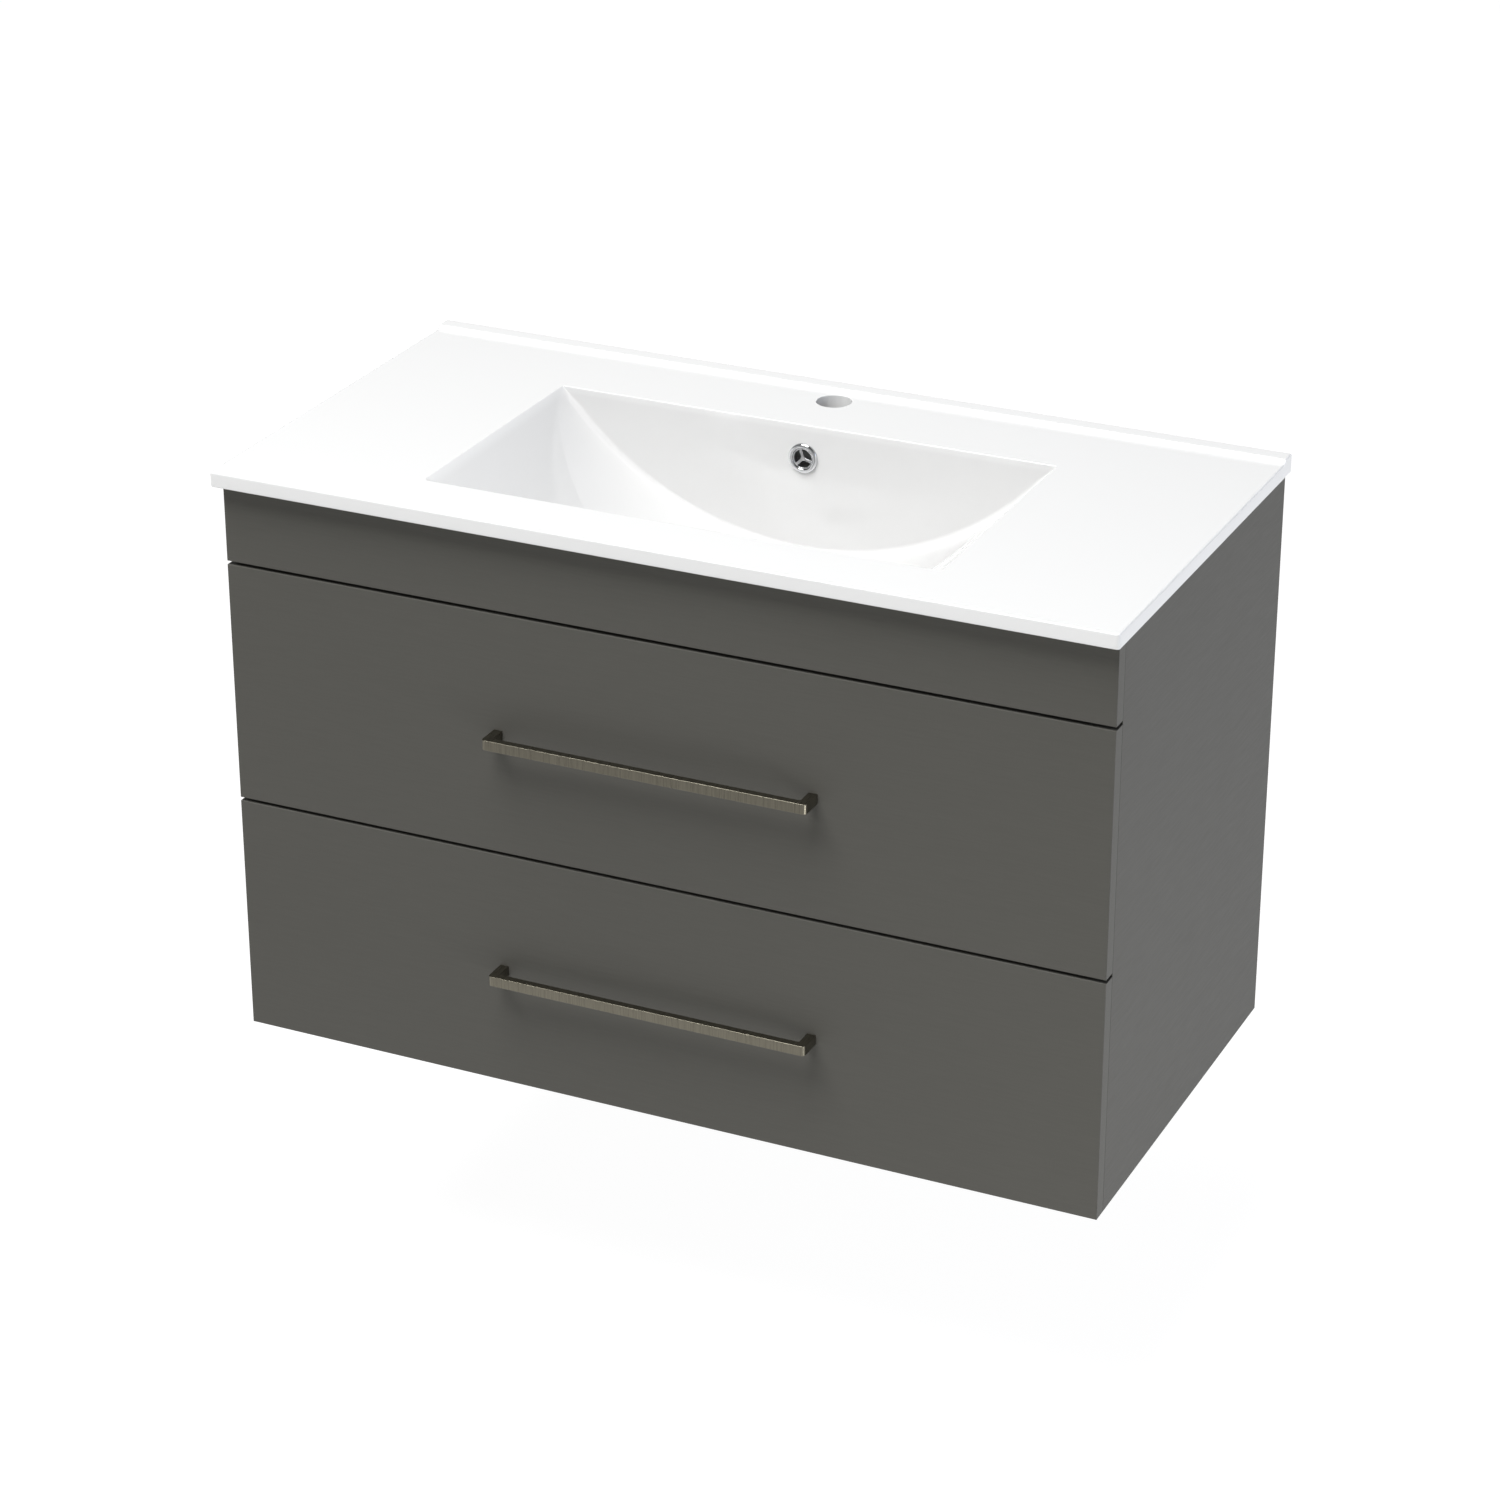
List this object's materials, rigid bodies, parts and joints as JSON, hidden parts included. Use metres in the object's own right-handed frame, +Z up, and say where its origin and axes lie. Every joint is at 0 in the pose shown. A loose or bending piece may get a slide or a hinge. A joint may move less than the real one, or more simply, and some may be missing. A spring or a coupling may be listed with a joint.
{
  "type": "bathroom vanity cabinet",
  "caption": "Wall-hung bathroom vanity: ceramic basin top with rectangular bowl on a grey board cabinet with fixed fascia, full-width drawers and flat bar handles.",
  "frame": {"origin": "on the wall plane, under the middle of the cabinet's back edge", "axes": "+X across the front, to the right of a person who faces it; +Y into the wall; +Z up"},
  "size_m": [0.9, 0.471, 0.591],
  "materials": {
    "glazed_ceramic": "white vitreous china, gloss glaze",
    "front_board": "dark warm grey satin laminate on board",
    "carcass_board": "dark grey satin laminate on board",
    "rail_board": "dark grey satin laminate on board",
    "drawer_board": "pale grey melamine on board",
    "handle_metal": "brushed nickel",
    "runner_steel": "zinc plated steel sheet",
    "ball_steel": "polished steel balls",
    "screw_steel": "zinc plated",
    "dowel_wood": "beech, unfinished",
    "trim_chrome": "polished chrome",
    "sealant": "white silicone sealant"
  },
  "bodies": {
    "carcass": {"basin_sealant": "sealant", "basin_top": "glazed_ceramic", "bottom_panel": "carcass_board", "carcass_dowels": "dowel_wood", "fascia": "front_board", "fascia_screws": "screw_steel", "front_rail": "rail_board", "hanging_rail": "rail_board", "lower_back_rail": "rail_board", "lower_left_runner_cabinet_member": "runner_steel", "lower_right_runner_cabinet_member": "runner_steel", "overflow_grille": "trim_chrome", "overflow_ring": "trim_chrome", "runner_cabinet_screws": "screw_steel", "side_panel_left": "carcass_board", "side_panel_right": "carcass_board", "upper_left_runner_cabinet_member": "runner_steel", "upper_right_runner_cabinet_member": "runner_steel"},
    "lower_drawer": {"lower_box_back": "drawer_board", "lower_box_bottom": "drawer_board", "lower_box_dowels": "dowel_wood", "lower_box_front": "drawer_board", "lower_box_side_left": "drawer_board", "lower_box_side_right": "drawer_board", "lower_drawer_front": "front_board", "lower_front_screws": "screw_steel", "lower_handle": "handle_metal", "lower_handle_screws": "screw_steel", "lower_left_runner_drawer_member": "runner_steel", "lower_right_runner_drawer_member": "runner_steel", "lower_runner_drawer_screws": "screw_steel"},
    "lower_middle_runners": {"lower_left_runner_middle_member": "runner_steel", "lower_right_runner_middle_member": "runner_steel", "lower_runner_balls": "ball_steel"},
    "upper_drawer": {"upper_box_back_left": "drawer_board", "upper_box_back_right": "drawer_board", "upper_box_bottom": "drawer_board", "upper_box_dowels": "dowel_wood", "upper_box_front": "drawer_board", "upper_box_side_left": "drawer_board", "upper_box_side_right": "drawer_board", "upper_drawer_front": "front_board", "upper_front_screws": "screw_steel", "upper_handle": "handle_metal", "upper_handle_screws": "screw_steel", "upper_left_runner_drawer_member": "runner_steel", "upper_recess_front": "drawer_board", "upper_recess_side_left": "drawer_board", "upper_recess_side_right": "drawer_board", "upper_right_runner_drawer_member": "runner_steel", "upper_runner_drawer_screws": "screw_steel"},
    "upper_middle_runners": {"upper_left_runner_middle_member": "runner_steel", "upper_right_runner_middle_member": "runner_steel", "upper_runner_balls": "ball_steel"}
  },
  "joints": [
    {"name": "upper_drawer_slide", "type": "slide", "parent": "carcass", "child": "upper_drawer", "axis": [0, -1, 0], "range_m": [0, 0.4]},
    {"name": "lower_drawer_slide", "type": "slide", "parent": "carcass", "child": "lower_drawer", "axis": [0, -1, 0], "range_m": [0, 0.4]},
    {"name": "upper_middle_slide", "type": "slide", "parent": "carcass", "child": "upper_middle_runners", "axis": [0, -1, 0], "range_m": [0, 0.2]},
    {"name": "lower_middle_slide", "type": "slide", "parent": "carcass", "child": "lower_middle_runners", "axis": [0, -1, 0], "range_m": [0, 0.2]}
  ],
  "couplings": [
    {"joint": "upper_middle_slide", "follows": "upper_drawer_slide", "ratio": 0.5},
    {"joint": "lower_middle_slide", "follows": "lower_drawer_slide", "ratio": 0.5}
  ]
}
